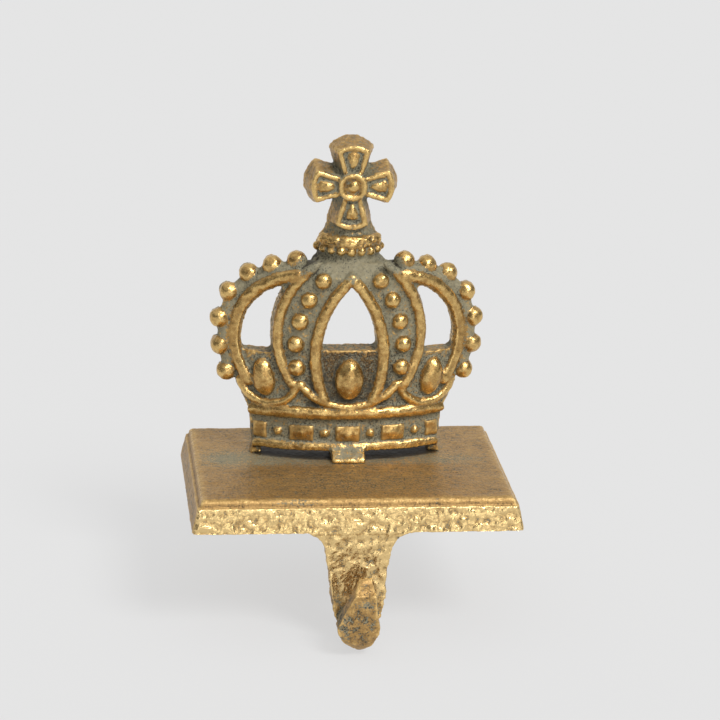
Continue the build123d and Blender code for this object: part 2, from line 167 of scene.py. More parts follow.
class CastingSizes(bpy.types.PropertyGroup):
    """How the rough castings are meshed and textured."""

    crown_voxel: length("Crown Mesh", "Cell size of the crown's skin", 0.46)
    base_voxel: length("Base Mesh", "Cell size of the plate and hook's skin", 0.5)
    crown_smoothing: whole("Crown Smoothing", "Rounds of smoothing on the crown", 5)
    soft_smoothing: whole("Soft Smoothing", "Further rounds on the cross and the feet", 6)
    base_smoothing: whole("Base Smoothing", "Rounds of smoothing on the plate and hook", 3)
    relief_smoothing: whole("Relief Smoothing", "Rounds of smoothing that ridges are measured against", 60)
    lump_size: length("Lump Size", "Width of the slow unevenness of the casting", 6.0)
    lump_height: length("Lump Height", "Height of the slow unevenness", 0.7)
    sand_size: length("Sand Size", "Width of the grains in the ground", 1.2)
    sand_height: length("Sand Height", "Height of the grains in the ground", 0.62)
    crust_height: length("Crust Height", "Height of the lumps over the collar", 1.1)
    foil_size: length("Foil Size", "Width of the creases on the edge and the hook", 1.3)
    foil_height: length("Foil Height", "Height of the creases on the edge and the hook", 0.6)
    face_limit: whole("Face Limit", "Most triangles in one casting's skin", 190000)


class CrownSizes(bpy.types.PropertyGroup):
    """Places of the round forms on the crown, in the part's own frame."""

    bow_radius: length("Bow Radius", "Radius of the bowed front", 90)
    bow_front: length("Bow Front", "Depth of the bow at its middle", 4)
    outer_x: lengths("Outer Beads X", "From the lowest up", 48.1, 50.9, 51.2, 47.7, 39.8, 30.9, 21.4)
    outer_z: lengths("Outer Beads Height", "From the lowest up", 45.9, 56.8, 68.2, 78.9, 86.6, 91.0, 93.5)
    outer_radius: length("Outer Bead Radius", "Radius of an outer bead", 4.1)
    outer_setback: length("Outer Bead Setback", "Depth of an outer bead behind the bow", 4.0)
    strap_x: length("Strap Bead X", "Centre of the arc of strap beads", -25)
    strap_z: length("Strap Bead Height", "Height of that centre", 58)
    strap_path: length("Strap Bead Path", "Radius of the arc of strap beads", 46.5)
    strap_start: angle("Strap Bead Start", "Angle of the lowest strap bead", -9.3)
    strap_pitch: angle("Strap Bead Pitch", "Angle from bead to bead", 12)
    strap_radius: length("Strap Bead Radius", "Radius of a strap bead", 3.5)
    strap_count: whole("Strap Beads", "Beads on each strap", 5)
    gem_z: length("Gem Height", "Height of its widest line", 45.5)
    gem_size: lengths("Gem Size", "Width, and length above and below the widest line", 11.5, 9.6, 7.9)
    side_gem_x: length("Side Gem X", "Place of a side gem", 33.6)
    side_gem_z: length("Side Gem Height", "Height of its widest line", 44.9)
    side_gem_size: lengths("Side Gem Size", "Width, and length above and below the widest line", 9.7, 8.8, 7.2)
    side_gem_tilt: angle("Side Gem Tilt", "Lean of a side gem", 10)
    gem_relief: amount("Gem Relief", "Height of a gem as a share of its width", 0.41)
    collar_z: length("Collar Bead Height", "Height of the ring of small beads", 97.7)
    collar_path: length("Collar Bead Path", "Radius of the ring of small beads", 13.2)
    collar_radius: length("Collar Bead Radius", "Radius of a collar bead", 1.8)
    collar_pitch: angle("Collar Bead Pitch", "Angle from bead to bead", 18.4)
    back: length("Back", "Depth of the flat back", 22)
    cross_z: length("Cross Height", "Height of the cross's middle", 123.9)
    cross_front: length("Cross Front", "Depth of the cross's face", 11.4)
    boss_radius: length("Boss Radius", "Radius of the cross's boss", 2.9)
    hub_rings: lengths(
        "Hub Rings", "Radius of the outer and the inner ring, and half their widths",
        4.85, 3.7, 0.9, 0.5)
    hub_relief: length("Hub Relief", "Height of the outer ring", 2.5)
    petal_distance: length("Petal Distance", "Distance from the cross's middle", 9.9)
    petal_size: lengths("Petal Size", "Half width, height and half length", 2.2, 1.8, 3.2)
    dot_z: length("Dot Height", "Height of the dots on the band", 23.3)
    dot_pitch: length("Dot Pitch", "Distance from dot to dot", 18.4)
    dot_radius: length("Dot Radius", "Radius of a dot", 1.8)
    pillow_size: lengths("Pillow Size", "Half size of the swell on a tablet", 5.1, 1.8, 3.15)


class RopeSizes(bpy.types.PropertyGroup):
    """Round ropes laid on the crown's ribs: centre x and z, radius of the path, half width and height."""

    arch: lengths("Arch", "Rope round an arch", 18.4, 61.7, 27.3, 2.75, 2.4)
    arch_sweep: sweep("Arch Sweep", -47, 91)
    strap: lengths("Strap", "Rope along the outside of a strap", -8.2, 64.0, 36.8, 2.35, 2.3)
    strap_sweep: sweep("Strap Sweep", -39, 56)
    ogive: lengths("Ogive", "Rope along the middle window", -30.5, 56.0, 44.2, 2.45, 2.3)
    ogive_sweep: sweep("Ogive Sweep", -28.5, 49.5)
    side_swag: lengths("Side Swag", "Rope under a side gem", 31.6, 45.9, 11.3, 2.0, 2.2)
    side_swag_sweep: sweep("Side Swag Sweep", 182, 357)
    centre_swag: lengths("Centre Swag", "Rope under the middle gem", 0, 59.55, 25.15, 2.0, 2.2)
    centre_swag_sweep: sweep("Centre Swag Sweep", 216, 324)
    roll: lengths("Roll", "Half length, height, half width and relief of the roll", 39.4, 31.8, 2.8, 2.65)
    rim: lengths("Rim", "Half length, height, half width and relief of the rim", 37.6, 17.7, 1.95, 1.75)
    web: lengths("Web", "Shift inward, half width and height of the web behind the outer beads", 2.3, 3.5, 2.9)
    collar: lengths(
        "Collar", "Height, path radius, half width and relief of the collar's roll",
        100.9, 11.7, 2.9, 2.4)


class FinishColours(bpy.types.PropertyGroup):
    """Colours of the worn gilding."""

    foil: colour("Foil", "Pale bright gold on the plate's front edge and the stem", 0.84, 0.605, 0.275)
    bright_gold: colour("Bright Gold", "Gilding rubbed bright on the ridges", 0.76, 0.515, 0.195)
    deep_gold: colour("Deep Gold", "Gilding in half shade", 0.43, 0.255, 0.085)
    umber: colour("Umber", "Brown wash left in the hollows", 0.075, 0.046, 0.02)
    verdigris: colour("Verdigris", "Grey-green film on the ground", 0.262, 0.245, 0.162)
    soot: colour("Soot", "Dark specks", 0.018, 0.014, 0.009)
    zinc: colour("Zinc", "Plating of the screw", 0.52, 0.53, 0.54)


class StageLook(bpy.types.PropertyGroup):
    """Floor, light and camera."""

    floor_colour: colour("Floor", "Colour of the floor", 0.77, 0.77, 0.77)
    floor_size: length("Floor Size", "Side of the floor", 40000)
    floor_glow: amount("Floor Evenness", "Share of the floor's colour that takes no shadow", 0.78)
    key_strength: amount("Key Light", "Strength of the key light", 2.0)
    key_angle: angle("Key Softness", "Angle that the key light spans", 22)
    key_azimuth: angle("Key Azimuth", "Turn of the key light to the right of the front", 35)
    key_elevation: angle("Key Elevation", "Height of the key light", 48)
    room_front: amount("Room Front", "Brightness of the room in front and at the sides", 0.13)
    room_back: amount("Room Back", "Brightness of the room behind and above", 0.78)
    front_strength: amount("Front Light", "Added brightness of the soft light in front", 1.85)
    front_way: FloatVectorProperty(
        name="Front Light Way", description="Direction of the soft light in front",
        size=3, default=(0.14, -0.985, 0.1), subtype="XYZ")
    camera_azimuth: angle("Camera Azimuth", "Turn of the camera from the front", -6.745)
    camera_elevation: angle("Camera Elevation", "Height of the camera", 18.5)
    camera_roll: angle("Camera Roll", "Lean of the camera", 1.749)
    camera_distance: length("Camera Distance", "Distance to the aim point", 1117.4)
    camera_aim: lengths("Camera Aim", "Point that the camera faces", 0, 0, 50)
    lens: amount("Lens", "Focal length in millimetres", 140.22)
    shift: FloatVectorProperty(name="Shift", description="Shift of the picture", size=2, default=(0.0132, 0.0186))


class StockingHolder(bpy.types.PropertyGroup):
    """All the settings of the holder."""

    casting: PointerProperty(type=CastingSizes)
    crown: PointerProperty(type=CrownSizes)
    ropes: PointerProperty(type=RopeSizes)
    finish: PointerProperty(type=FinishColours)
    stage: PointerProperty(type=StageLook)


class Nodes:
    """Short ways to add and join nodes of one node tree."""

    def __init__(self, tree):
        self.tree = tree

    def add(self, kind, **settings):
        node = self.tree.nodes.new(kind)
        for name, value in settings.items():
            setattr(node, name, value)
        return node

    def link(self, source, target):
        if isinstance(source, bpy.types.NodeSocket):
            self.tree.links.new(source, target)
        else:
            target.default_value = source

    def node(self, kind, inputs, output, **settings):
        """One output of a new node with its inputs linked or set."""
        node = self.add(kind, **settings)
        for key, value in inputs.items():
            self.link(value, node.inputs[key])
        return node.outputs[output]

    def math(self, operation, first, second, clamp=False):
        return self.node("ShaderNodeMath", {0: first, 1: second}, 0, operation=operation, use_clamp=clamp)

    def plus(self, first, second):
        return self.math("ADD", first, second)

    def minus(self, first, second):
        return self.math("SUBTRACT", first, second)

    def times(self, first, second):
        return self.math("MULTIPLY", first, second)

    def ramp(self, value, low, high):
        """0 below low, 1 above high and a smooth run between."""
        inputs = {"Value": value, "From Min": low, "From Max": high}
        return self.node("ShaderNodeMapRange", inputs, "Result", interpolation_type="SMOOTHSTEP")

    def mix(self, share, first, second):
        return self.node("ShaderNodeMix", {"Factor": share, 6: first, 7: second}, 2, data_type="RGBA")

    def blend(self, share, first, second):
        return self.node("ShaderNodeMix", {"Factor": share, 2: first, 3: second}, 0, data_type="FLOAT")

    def noise(self, point, scale, detail, roughness):
        inputs = {"Vector": point, "Scale": scale, "Detail": detail, "Roughness": roughness}
        return self.node("ShaderNodeTexNoise", inputs, "Fac")

    def cells(self, point, scale):
        inputs = {"Vector": point, "Scale": scale}
        return self.node("ShaderNodeTexVoronoi", inputs, "Distance", feature="SMOOTH_F1")

    def mask(self, name):
        return self.node("ShaderNodeAttribute", {}, "Fac", attribute_name=name)

    def group(self, tree, **inputs):
        node = self.add("ShaderNodeGroup", node_tree=tree)
        for name, value in inputs.items():
            self.link(value, node.inputs[name])
        return node

    def surface(self, shader, kind="ShaderNodeOutputMaterial"):
        self.link(shader, self.add(kind).inputs["Surface"])


def rgba(parts):
    return (*parts, 1.0)


def new_group(name, inputs, outputs):
    """Empty shader node group with named sockets, and its input and output nodes."""
    group = bpy.data.node_groups.new(name, "ShaderNodeTree")
    for label, kind, default in inputs:
        socket = group.interface.new_socket(label, in_out="INPUT", socket_type=kind)
        if default is not None:
            socket.default_value = default
    for label, kind in outputs:
        group.interface.new_socket(label, in_out="OUTPUT", socket_type=kind)
    tree = Nodes(group)
    return tree, tree.add("NodeGroupInput").outputs, tree.add("NodeGroupOutput").inputs


def cast_grain():
    """Sandy skin of a rough casting: a height for bump and a mask of dark pits."""
    tree, given, made = new_group(
        "Cast Grain",
        [("Point", "NodeSocketVector", None), ("Grain", "NodeSocketFloat", 700.0), ("Dents", "NodeSocketFloat", 0.5)],
        [("Height", "NodeSocketFloat"), ("Pits", "NodeSocketFloat")],
    )
    point, grain = given["Point"], given["Grain"]
    sand = tree.noise(point, grain, 3.0, 0.6)
    fine = tree.noise(point, tree.times(grain, 3.1), 2.0, 0.6)
    dents = tree.cells(point, tree.times(grain, 0.62))
    bumps = tree.plus(tree.times(sand, 0.6), tree.times(fine, 0.25))
    tree.link(tree.plus(bumps, tree.times(dents, given["Dents"])), made["Height"])
    tree.link(tree.ramp(fine, 0.62, 0.72), made["Pits"])
    return tree.tree


def worn_gilding():
    """Colour, roughness and metal share of worn gold over a brown wash and a grey-green film."""
    tree, given, made = new_group(
        "Worn Gilding",
        [("Point", "NodeSocketVector", None)]
        + [(name, "NodeSocketFloat", 0.0) for name in GILDING_MASKS]
        + [(name, "NodeSocketColor", None) for name in GILDING_COLOURS],
        [("Color", "NodeSocketColor"), ("Roughness", "NodeSocketFloat"), ("Metallic", "NodeSocketFloat")],
    )
    point, wash = given["Point"], given["Wash"]
    cloud = tree.noise(point, CLOUD_SCALE, 3.0, 0.55)
    mottle = tree.noise(point, MOTTLE_SCALE, 3.0, 0.62)
    fleck = tree.noise(point, FLECK_SCALE, 2.0, 0.65)
    speck = tree.noise(point, SPECK_SCALE, 1.0, 0.5)
    along = tree.node("ShaderNodeVectorMath", {0: point, 1: (0.12, 1.0, 1.0)}, "Vector", operation="MULTIPLY")
    streak = tree.noise(along, STREAK_SCALE, 2.0, 0.6)

    # Height of the gilding: the casting's relief, uneven, and sunk where the wash lies
    unevenness = tree.plus(tree.times(cloud, 0.7), tree.times(mottle, 1.5))
    unevenness = tree.minus(unevenness, 1.1)
    unevenness = tree.times(unevenness, tree.blend(wash, 1.0, 0.35))
    grains = tree.times(tree.minus(fleck, 0.5), tree.blend(wash, 0.8, 2.2))
    streaks = tree.times(tree.minus(streak, 0.5), wash)
    unevenness = tree.plus(tree.plus(unevenness, grains), streaks)
    height = tree.minus(tree.plus(given["Relief"], unevenness), tree.times(wash, 0.42))
    depth = tree.times(height, -1.0)

    # Gold, with foil where it is rubbed and where painted sheen lies on the front faces of the plate's edge and the
    # stem, and umber in the hollows
    gold = tree.mix(tree.ramp(height, -0.15, 0.8), given["Deep Gold"], given["Bright Gold"])
    rub = tree.ramp(tree.plus(given["Rub"], tree.times(height, 0.8)), 0.3, 1.1)
    rub = tree.times(rub, tree.ramp(given["Rub"], 0.0, 0.3))
    gold = tree.mix(rub, gold, given["Foil"])
    hollow = tree.times(tree.ramp(depth, 0.1, 0.75), tree.blend(given["Rub"], 1.0, 0.25))
    washed = tree.mix(tree.times(hollow, UMBER_COVER), gold, given["Umber"])

    # Film over the ground, and soot in specks and in the deepest places, where the painted slot shade turns black
    cover = tree.minus(given["Film"], tree.times(height, 0.55))
    film = tree.ramp(tree.minus(cover, tree.times(fleck, 0.9)), -0.08, 0.14)
    filmed = tree.mix(tree.times(film, FILM_COVER), washed, given["Verdigris"])
    soot = tree.math("ADD", hollow, tree.times(film, 0.35), clamp=True)
    specks = tree.minus(tree.plus(speck, tree.times(cloud, 0.15)), tree.times(wash, 0.08))
    soot = tree.times(tree.ramp(specks, 0.53, 0.44), soot)
    soot = tree.math("MAXIMUM", soot, tree.ramp(depth, 1.1, 1.5))
    tree.link(tree.mix(tree.times(soot, SOOT_COVER), filmed, given["Soot"]), made["Color"])

    # Film, hollows and wash are dull
    dull = tree.math("MAXIMUM", film, tree.times(hollow, 0.7))
    dull = tree.math("MAXIMUM", dull, tree.times(wash, 0.75))
    rough = tree.blend(dull, tree.blend(rub, *GOLD_ROUGHNESS), DULL_ROUGHNESS)
    mottled = tree.times(tree.minus(mottle, 0.5), 0.3)
    tree.link(tree.plus(rough, mottled), made["Roughness"])
    tree.link(tree.blend(dull, *METAL), made["Metallic"])
    return tree.tree


def new_material(name):
    """Material with an empty node tree, and short ways to fill it."""
    material = bpy.data.materials.new(name)
    material.use_nodes = True
    material.node_tree.nodes.clear()
    return material, Nodes(material.node_tree)


def gilded(name, finish, grain, dents, bump):
    """Material of one gilded casting."""
    material, tree = new_material(name)
    groups = shared_groups()
    point = tree.add("ShaderNodeTexCoord").outputs["Object"]
    skin = tree.group(groups["grain"], Point=point, Grain=grain, Dents=dents)
    gilding = tree.group(groups["gilding"], Point=point)
    for mask in GILDING_MASKS:
        tree.link(tree.mask(mask.lower()), gilding.inputs[mask])
    for tint in GILDING_COLOURS:
        gilding.inputs[tint].default_value = rgba(getattr(finish, tint.lower().replace(" ", "_")))
    bumps = {"Strength": bump, "Distance": BUMP_DISTANCE, "Height": skin.outputs["Height"]}
    look = {
        "Base Color": gilding.outputs["Color"],
        "Roughness": gilding.outputs["Roughness"],
        "Metallic": gilding.outputs["Metallic"],
        "Normal": tree.node("ShaderNodeBump", bumps, "Normal"),
    }
    tree.surface(tree.node("ShaderNodeBsdfPrincipled", look, "BSDF"))
    return material


def shared_groups():
    """The shader groups that the materials share, made once."""
    names = {"grain": ("Cast Grain", cast_grain), "gilding": ("Worn Gilding", worn_gilding)}
    return {key: bpy.data.node_groups.get(name) or make() for key, (name, make) in names.items()}


def vertex_places(mesh):
    places = np.zeros(len(mesh.vertices) * 3, np.float32)
    mesh.vertices.foreach_get("co", places)
    return places.reshape(-1, 3)


def vertex_normals(mesh):
    normals = np.zeros(len(mesh.vertices) * 3, np.float32)
    mesh.vertex_normals.foreach_get("vector", normals)
    return normals.reshape(-1, 3)


def ramp(value, low, high):
    """0 at low, 1 at high and a smooth run between."""
    share = np.clip((value - low) / (high - low), 0, 1)
    return share * share * (3 - 2 * share)


def metre_ramp(value, low, high):
    """Ramp of a value in metres between limits in millimetres."""
    return ramp(value, low * MM, high * MM)


def within(value, start, full, fade, end):
    """1 from full to fade, and a smooth run to 0 at start and at end."""
    return ramp(value, start, full) * ramp(value, end, fade)


def patch(first, second, centre, reach):
    """1 at a centre, fading round it by its reach along each of two values."""
    return np.exp(-(((first - centre[0]) / reach[0]) ** 2) - ((second - centre[1]) / reach[1]) ** 2)


def new_object(name, data):
    thing = bpy.data.objects.new(name, data)
    bpy.context.scene.collection.objects.link(thing)
    return thing


def settle(piece):
    """Replaces a piece's mesh by the result of its modifiers."""
    graph = bpy.context.evaluated_depsgraph_get()
    mesh = bpy.data.meshes.new_from_object(piece.evaluated_get(graph))
    piece.modifiers.clear()
    old = piece.data
    piece.data = mesh
    mesh.name = piece.name
    bpy.data.meshes.remove(old)


def cast_skin(name, node, voxel, rounds=()):
    """One closed skin over a CAD node and the round forms laid on it."""
    shape = bmesh.new()
    shape.from_mesh(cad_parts[node].data)
    bmesh.ops.remove_doubles(shape, verts=shape.verts, dist=0.001 * MM)
    for form in rounds:
        form(shape)
    mesh = bpy.data.meshes.new(name)
    shape.to_mesh(mesh)
    shape.free()
    piece = new_object(name, mesh)
    skin = piece.modifiers.new("Skin", "REMESH")
    skin.mode = "VOXEL"
    skin.voxel_size = voxel
    skin.use_smooth_shade = True
    settle(piece)
    return piece


def soften(piece, repeats, group=""):
    smooth = piece.modifiers.new("Soften", "SMOOTH")
    smooth.factor = 0.5
    smooth.iterations = repeats
    smooth.vertex_group = group


def weigh(piece, name, weights):
    """Vertex group from an array, in a few steps of weight."""
    group = piece.vertex_groups.new(name=name)
    steps = np.round(np.clip(weights, 0, 1) * WEIGHT_STEPS).astype(int)
    for step in range(1, WEIGHT_STEPS + 1):
        chosen = np.flatnonzero(steps == step)
        if len(chosen):
            group.add(chosen.tolist(), step / WEIGHT_STEPS, "REPLACE")


def roughen(piece, name, size, height, group="", shares=(1, 1), **settings):
    """Displaces a skin along its normals by clouds with shares of a size and a height."""
    texture = bpy.data.textures.new(name, "CLOUDS")
    texture.noise_scale = shares[0] * size
    for key, value in settings.items():
        setattr(texture, key, value)
    displace = piece.modifiers.new(name, "DISPLACE")
    displace.texture = texture
    displace.texture_coords = "LOCAL"
    displace.strength = shares[1] * height
    displace.mid_level = 0.5
    displace.vertex_group = group


def thin_out(piece, limit):
    """Collapses the flattest faces until a skin has no more triangles than the limit."""
    count = sum(len(face.vertices) - 2 for face in piece.data.polygons)
    if count > limit:
        thin = piece.modifiers.new("Thin", "DECIMATE")
        thin.ratio = limit / count
        settle(piece)


def relief_of(piece, repeats):
    """Height of each point over the skin smoothed out around it, from -1 in hollows to 1 on ridges."""
    copy = new_object("relief_copy", piece.data.copy())
    soften(copy, repeats)
    graph = bpy.context.evaluated_depsgraph_get()
    low = vertex_places(copy.evaluated_get(graph).data)
    height = np.einsum("ij,ij->i", vertex_places(piece.data) - low, vertex_normals(piece.data))
    data = copy.data
    bpy.data.objects.remove(copy)
    bpy.data.meshes.remove(data)
    return np.clip(height / RELIEF_REACH, -1.0, 1.0)


def store(piece, **shares):
    """Keeps named values for each point of a piece, for its material to read."""
    for name, values in shares.items():
        layer = piece.data.attributes.new(name, "FLOAT", "POINT")
        layer.data.foreach_set("value", np.asarray(values, np.float32))


def dress(piece, node, material):
    """Gives a piece its material and its place in the frame."""
    piece.data.materials.clear()
    piece.data.materials.append(material)
    piece.data.shade_smooth()
    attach(piece, "root")
    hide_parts(node)


def bow_place(sizes, x, z):
    """Turned place on the crown's bowed front at x and z."""
    axis = sizes.bow_front + sizes.bow_radius
    turn = Matrix.Rotation(math.asin(x / sizes.bow_radius), 4, "Z")
    return Matrix.Translation((0, axis, z)) @ turn @ Matrix.Translation((0, -sizes.bow_radius, 0))


def uneven(seed):
    """Repeatable number from -1 to 1 for a whole number."""
    return 2 * (math.sin(12.9898 * (seed + 1)) * 43758.5453 % 1) - 1


def round_form(place, half_sizes, lower=None, taper=0.0):
    """Maker of a ball with three half sizes at a place, with its lower half as long as asked."""

    def make(shape):
        ball = bmesh.ops.create_icosphere(shape, subdivisions=4, radius=1.0)
        for vertex in ball["verts"]:
            x, y, z = vertex.co
            rise = lower if lower and z < 0 else half_sizes[2]
            width = 1 + taper * z
            vertex.co = place @ Vector((x * half_sizes[0] * width, y * half_sizes[1], z * rise))

    return make


def bridge(shape, rows):
    """Faces from each row of points to the next, with every row a closed loop."""
    for near, far in zip(rows, rows[1:]):
        for part in range(len(near)):
            after = (part + 1) % len(near)
            shape.faces.new((near[part], near[after], far[after], far[part]))


def ring_form(place, path, tube, around=48, across=12):
    """Maker of a round ring that faces the front at a place."""

    def make(shape):
        rows = []
        for step in range(around):
            turn = 2 * math.pi * step / around
            row = []
            for part in range(across):
                tilt = 2 * math.pi * part / across
                reach = path + tube * math.cos(tilt)
                point = Vector((reach * math.cos(turn), tube * math.sin(tilt), reach * math.sin(turn)))
                row.append(shape.verts.new(place @ point))
            rows.append(row)
        bridge(shape, rows + rows[:1])

    return make


def rope_form(line, half_width, height, fade=1.0, across=14):
    """Maker of a rope along points and the ways they face, with its far end fading as slowly as asked."""

    def make(shape):
        points = [point for point, facing in line]
        runs = [0.0]
        for near, far in zip(points, points[1:]):
            runs.append(runs[-1] + (far - near).length)
        rows = []
        for step, (point, facing) in enumerate(line):
            along = points[min(step + 1, len(line) - 1)] - points[max(step - 1, 0)]
            aside = along.cross(facing).normalized()
            left = min(runs[step], (runs[-1] - runs[step]) / fade) / half_width
            size = max(0.1, math.sqrt(1 - (1 - min(left, 1)) ** 2))
            row = []
            for part in range(across):
                tilt = 2 * math.pi * part / across
                offset = half_width * math.cos(tilt) * aside + height * math.sin(tilt) * facing
                row.append(shape.verts.new(point + size * offset))
            rows.append(row)
        bridge(shape, rows)
        shape.faces.new(rows[0][::-1])
        shape.faces.new(rows[-1])

    return make


def bow_line(sizes, spots):
    """Points on the bowed front at places x and z, each with the way it faces."""
    line = []
    for x, z in spots:
        facing = Vector((x, -math.sqrt(sizes.bow_radius**2 - x**2), 0)) / sizes.bow_radius
        line.append((Vector((0, sizes.bow_front + sizes.bow_radius, z)) + sizes.bow_radius * facing, facing))
    return line


def run_of(start, end, steps):
    return [start + (end - start) * step / steps for step in range(steps + 1)]


def rope_forms(sizes, ropes):
    """Ropes on the ribs, the band, the collar and behind the outer beads."""
    forms = []
    for name in ("arch", "strap", "ogive", "side_swag", "centre_swag"):
        x, z, path, half_width, height = getattr(ropes, name)
        turns = run_of(*getattr(ropes, name + "_sweep"), ROPE_STEPS)
        fade = STRAP_FADE if name == "strap" else 1.0
        for side in (-1, 1) if x else (1,):
            spots = [(side * (x + path * math.cos(turn)), z + path * math.sin(turn)) for turn in turns]
            forms.append(rope_form(bow_line(sizes, spots), half_width, height, fade))
    for half_length, z, half_width, height in (ropes.roll, ropes.rim):
        spots = [(x, z) for x in run_of(-half_length, half_length, ROPE_STEPS)]
        forms.append(rope_form(bow_line(sizes, spots), half_width, height))
    shift, half_width, height = ropes.web
    facing = Vector((0, -1, 0))
    for side in (0, 1):
        centre = Vector(((2 * side - 1) * ropes.arch[0], 0, ropes.arch[1]))
        line = []
        for near, far in zip(outer_places(sizes)[side::2], outer_places(sizes)[side + 2::2]):
            for step in range(WEB_STEPS):
                point = near.lerp(far, step / WEB_STEPS)
                inward = centre - point
                inward.y = 0
                line.append((point + shift * inward.normalized(), facing))
        forms.append(rope_form(line, half_width, height))
    z, path, half_width, height = ropes.collar
    line = []
    for turn in run_of(math.radians(-COLLAR_TURN), math.radians(COLLAR_TURN), COLLAR_STEPS):
        facing = Vector((math.sin(turn), -math.cos(turn), 0))
        line.append((Vector((0, sizes.back, z)) + path * facing, facing))
    forms.append(rope_form(line, half_width, height))
    return forms


def outer_places(sizes):
    """Centres of the beads round both arches."""
    places = []
    axis = sizes.bow_front + sizes.bow_radius
    for x, z in zip(sizes.outer_x, sizes.outer_z):
        depth = axis - math.sqrt(sizes.bow_radius**2 - x**2) + sizes.outer_setback
        depth = min(depth, sizes.back - sizes.outer_radius)
        places += [Vector((-x, depth, z)), Vector((x, depth, z))]
    return places


def bead_forms(sizes):
    """Beads round the arches, up the straps and round the collar, and the dots on the band."""
    forms = []
    for count, place in enumerate(outer_places(sizes)):
        radius = sizes.outer_radius * (1 + OUTER_SPREAD * uneven(count))
        forms.append(round_form(Matrix.Translation(place), (radius,) * 3))
    for count in range(sizes.strap_count):
        turn = sizes.strap_start + count * sizes.strap_pitch
        x = sizes.strap_x + sizes.strap_path * math.cos(turn)
        z = sizes.strap_z + sizes.strap_path * math.sin(turn)
        for side in (-1, 1):
            radius = sizes.strap_radius * (1 + STRAP_SPREAD * uneven(40 + 2 * count + side))
            forms.append(round_form(bow_place(sizes, side * x, z), (radius,) * 3))
    for count in range(-4, 5):
        turn = Matrix.Rotation(count * sizes.collar_pitch, 4, "Z")
        place = Matrix.Translation((0, sizes.back, sizes.collar_z)) @ turn
        radius = sizes.collar_radius * (1 + COLLAR_SPREAD * uneven(80 + count))
        forms.append(round_form(place @ Matrix.Translation((0, -sizes.collar_path, 0)), (radius,) * 3))
    for step in (-1.5, -0.5, 0.5, 1.5):
        place = bow_place(sizes, step * sizes.dot_pitch, sizes.dot_z)
        forms.append(round_form(place, (sizes.dot_radius,) * 3))
    for step in (-1, 0, 1):
        forms.append(round_form(bow_place(sizes, step * sizes.dot_pitch, sizes.dot_z), sizes.pillow_size))
    return forms


def gem_forms(sizes):
    """Egg-shaped gems in the middle and in the side arches."""
    forms = []
    for side in (-1, 0, 1):
        width, above, below = sizes.side_gem_size if side else sizes.gem_size
        place = bow_place(sizes, side * sizes.side_gem_x, sizes.side_gem_z if side else sizes.gem_z)
        place = place @ Matrix.Rotation(side * sizes.side_gem_tilt, 4, "Y")
        forms.append(round_form(place, (width / 2, width * sizes.gem_relief, above), below))
    return forms


def cross_forms(sizes):
    """Boss, rings and petals on the face of the cross."""
    middle = Matrix.Translation((0, sizes.cross_front, sizes.cross_z))
    outer, inner, outer_tube, inner_tube = sizes.hub_rings
    forms = [
        round_form(middle, (sizes.boss_radius,) * 3),
        ring_form(middle @ Matrix.Translation((0, outer_tube - sizes.hub_relief, 0)), outer, outer_tube),
        ring_form(middle @ Matrix.Translation((0, HUB_STEP * outer_tube - sizes.hub_relief, 0)), inner, inner_tube),
    ]
    for turn in range(4):
        place = middle @ Matrix.Rotation(turn * math.pi / 2, 4, "Y")
        place = place @ Matrix.Translation((0, 0, sizes.petal_distance))
        forms.append(round_form(place, sizes.petal_size, taper=PETAL_TAPER))
    return forms


def between_beads(sizes, places):
    """0 on the outer beads and 1 beside them."""
    between = np.ones(len(places))
    for centre in outer_places(sizes):
        away = np.linalg.norm(places - np.array(centre, np.float32), axis=1)
        between *= ramp(away, sizes.outer_radius, 1.1 * sizes.outer_radius)
    return between


def beside_gems(sizes, x, z):
    """Least on the gems, which are smooth, and 1 beside them."""
    beside = np.ones(len(x))
    for side in (-1, 0, 1):
        width, above, below = np.array(sizes.side_gem_size if side else sizes.gem_size) / MM
        aside = x - side * sizes.side_gem_x / MM
        rise = z - (sizes.side_gem_z if side else sizes.gem_z) / MM
        reach = np.hypot(2 * aside / width, rise / np.where(rise > 0, above, below))
        beside *= 1 - GEM_SMOOTHNESS * ramp(reach, 1.15, 0.95)
    return beside


